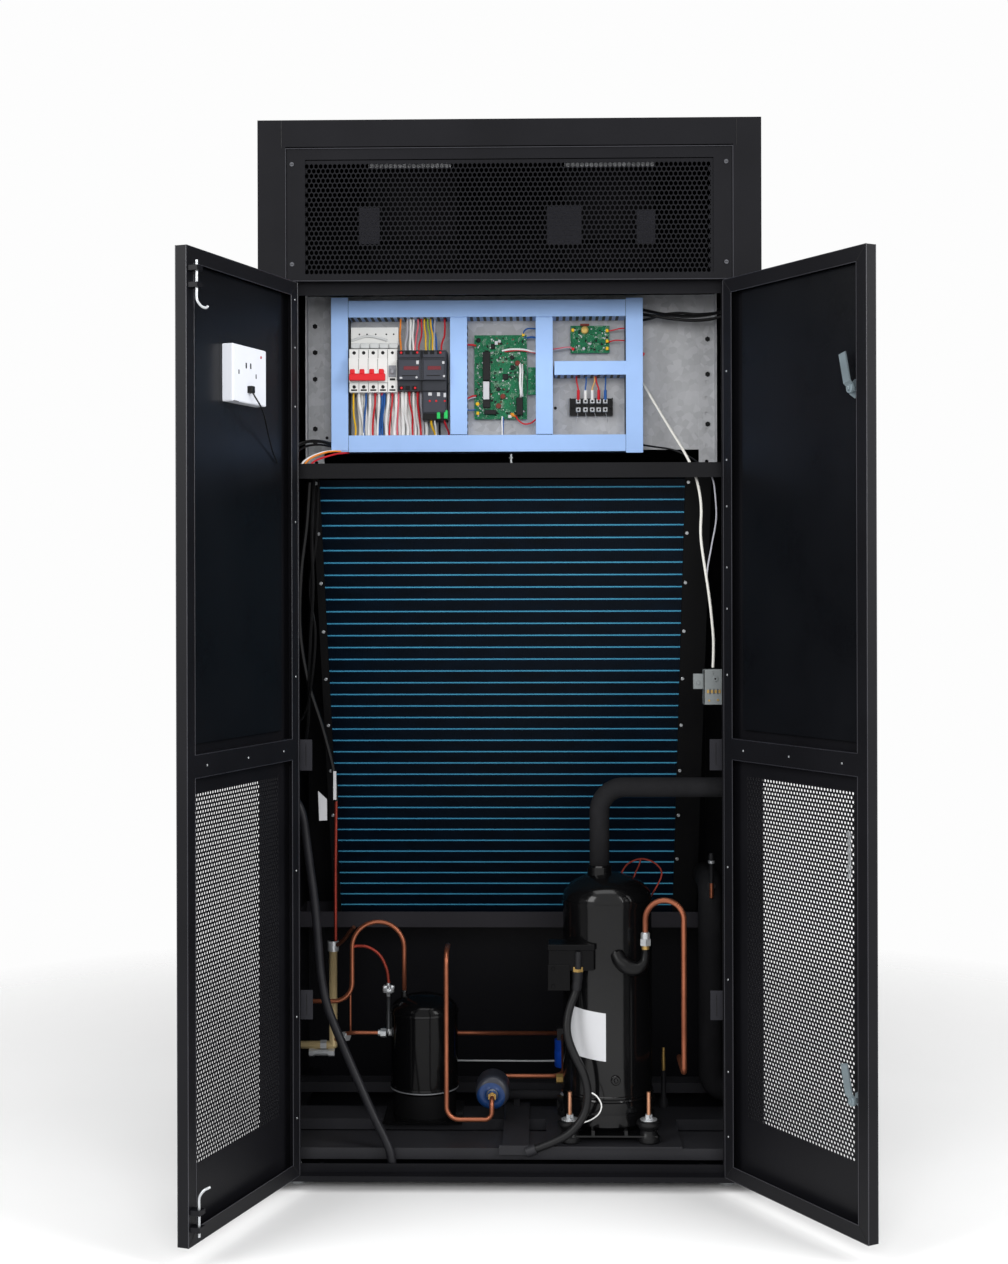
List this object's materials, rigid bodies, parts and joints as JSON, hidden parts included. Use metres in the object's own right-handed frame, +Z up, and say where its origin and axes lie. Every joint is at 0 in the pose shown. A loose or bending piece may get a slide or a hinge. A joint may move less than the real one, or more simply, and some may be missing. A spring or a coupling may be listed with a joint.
{
  "type": "computer room air conditioner",
  "caption": "Upflow cabinet with two open front doors, control bay, sloping coil, compressor and receiver, perforated supply grille on top.",
  "frame": {"origin": "centre of the four anchor holes in the underside of the base", "axes": "+X to the right of someone facing the doors, +Y to the back, +Z up"},
  "size_m": [1.1152, 1.0852, 1.92],
  "materials": {
    "base_frame": "fine-textured black powder coat",
    "levelling_feet": "bright zinc plate",
    "base_channels": "fine-textured black powder coat",
    "front_post_left": "fine-textured black powder coat",
    "front_post_right": "fine-textured black powder coat",
    "side_panel_left": "fine-textured black powder coat",
    "side_panel_right": "fine-textured black powder coat",
    "back_panel": "fine-textured black powder coat",
    "top_cover": "fine-textured black powder coat",
    "top_rail": "fine-textured black powder coat",
    "door_header": "fine-textured black powder coat",
    "grille_panel": "fine-textured black powder coat",
    "grille_mesh": "fine-textured black powder coat",
    "fan_deck": "galvanised sheet",
    "blower_housings": "galvanised sheet",
    "electrical_tray": "fine-textured black powder coat",
    "mounting_plate": "galvanised sheet",
    "slotted_angles": "galvanised sheet",
    "wiring_ducts": "pale blue plastic",
    "circuit_breaker": "white plastic",
    "contactors": "dark grey plastic",
    "neutral_terminals": "white plastic",
    "main_circuit_board": "green solder mask",
    "relay_board": "green solder mask",
    "terminal_strip": "black plastic",
    "evaporator_coil": "blue hydrophilic fins",
    "coil_end_plates": "fine-textured black powder coat",
    "drain_pan": "fine-textured black powder coat",
    "compressor": "glossy black enamel",
    "compressor_base_plate": "fine-textured black powder coat",
    "compressor_mounts": "black rubber with plated studs",
    "compressor_terminal_box": "black plastic",
    "suction_line": "black foam insulation",
    "wall_pipes": "black foam insulation",
    "discharge_line": "drawn copper",
    "liquid_receiver": "glossy black enamel",
    "receiver_pipe": "drawn copper",
    "charging_tube": "brass",
    "service_valve": "bright zinc plate",
    "filter_drier": "blue-grey enamel",
    "liquid_line": "drawn copper",
    "solenoid_valve": "blue plastic coil",
    "door_switch": "bright zinc plate",
    "drain_hose": "grey-black rubber",
    "compressor_cable": "black sheath",
    "switch_lead": "white sheath",
    "left_door_panel": "fine-textured black powder coat",
    "left_door_liner": "fine-textured black powder coat",
    "left_door_mesh": "fine-textured black powder coat",
    "controller_box": "white plastic",
    "flush_bolt_guides": "bright zinc plate",
    "upper_flush_bolt": "bright zinc plate",
    "lower_flush_bolt": "bright zinc plate",
    "right_door_panel": "fine-textured black powder coat",
    "right_door_liner": "fine-textured black powder coat",
    "right_door_mesh": "fine-textured black powder coat",
    "latch_housings": "bright zinc plate",
    "upper_cam_latch": "bright zinc plate",
    "lower_cam_latch": "bright zinc plate"
  },
  "bodies": {
    "cabinet": {"back_panel": "back_panel", "base_channels": "base_channels", "base_frame": "base_frame", "blower_housings": "blower_housings", "charging_tube": "charging_tube", "circuit_breaker": "circuit_breaker", "coil_end_plates": "coil_end_plates", "compressor": "compressor", "compressor_base_plate": "compressor_base_plate", "compressor_cable": "compressor_cable", "compressor_mounts": "compressor_mounts", "compressor_terminal_box": "compressor_terminal_box", "contactors": "contactors", "discharge_line": "discharge_line", "door_header": "door_header", "door_switch": "door_switch", "drain_hose": "drain_hose", "drain_pan": "drain_pan", "electrical_tray": "electrical_tray", "evaporator_coil": "evaporator_coil", "fan_deck": "fan_deck", "filter_drier": "filter_drier", "front_post_left": "front_post_left", "front_post_right": "front_post_right", "grille_mesh": "grille_mesh", "grille_panel": "grille_panel", "levelling_feet": "levelling_feet", "liquid_line": "liquid_line", "liquid_receiver": "liquid_receiver", "main_circuit_board": "main_circuit_board", "mounting_plate": "mounting_plate", "neutral_terminals": "neutral_terminals", "receiver_pipe": "receiver_pipe", "relay_board": "relay_board", "service_valve": "service_valve", "side_panel_left": "side_panel_left", "side_panel_right": "side_panel_right", "slotted_angles": "slotted_angles", "solenoid_valve": "solenoid_valve", "suction_line": "suction_line", "switch_lead": "switch_lead", "terminal_strip": "terminal_strip", "top_cover": "top_cover", "top_rail": "top_rail", "wall_pipes": "wall_pipes", "wiring_ducts": "wiring_ducts"},
    "left_door": {"left_door_panel": "left_door_panel", "left_door_liner": "left_door_liner", "left_door_mesh": "left_door_mesh", "controller_box": "controller_box", "flush_bolt_guides": "flush_bolt_guides"},
    "right_door": {"right_door_panel": "right_door_panel", "right_door_liner": "right_door_liner", "right_door_mesh": "right_door_mesh", "latch_housings": "latch_housings"},
    "upper_bolt": {"upper_flush_bolt": "upper_flush_bolt"},
    "lower_bolt": {"lower_flush_bolt": "lower_flush_bolt"},
    "upper_latch": {"upper_cam_latch": "upper_cam_latch"},
    "lower_latch": {"lower_cam_latch": "lower_cam_latch"}
  },
  "joints": [
    {"name": "left_door_swing", "type": "hinge", "parent": "cabinet", "child": "left_door", "pos_m": [-0.3975, -0.3525, 0.76], "axis": [0, 0, 1], "range_deg": [-15.8, 109.2]},
    {"name": "right_door_swing", "type": "hinge", "parent": "cabinet", "child": "right_door", "pos_m": [0.3975, -0.3525, 0.76], "axis": [0, 0, 1], "range_deg": [-119.7, 5.3]},
    {"name": "upper_bolt_slide", "type": "slide", "parent": "left_door", "child": "upper_bolt", "axis": [0, 0, 1], "range_m": [0, 0.014]},
    {"name": "lower_bolt_slide", "type": "slide", "parent": "left_door", "child": "lower_bolt", "axis": [0, 0, -1], "range_m": [0, 0.014]},
    {"name": "upper_latch_turn", "type": "hinge", "parent": "right_door", "child": "upper_latch", "pos_m": [0.5544, -0.674, 1.38], "axis": [0.8686, 0.4955, 0], "range_deg": [0, 90]},
    {"name": "lower_latch_turn", "type": "hinge", "parent": "right_door", "child": "lower_latch", "pos_m": [0.5544, -0.674, 0.236], "axis": [0.8686, 0.4955, 0], "range_deg": [0, 90]}
  ]
}
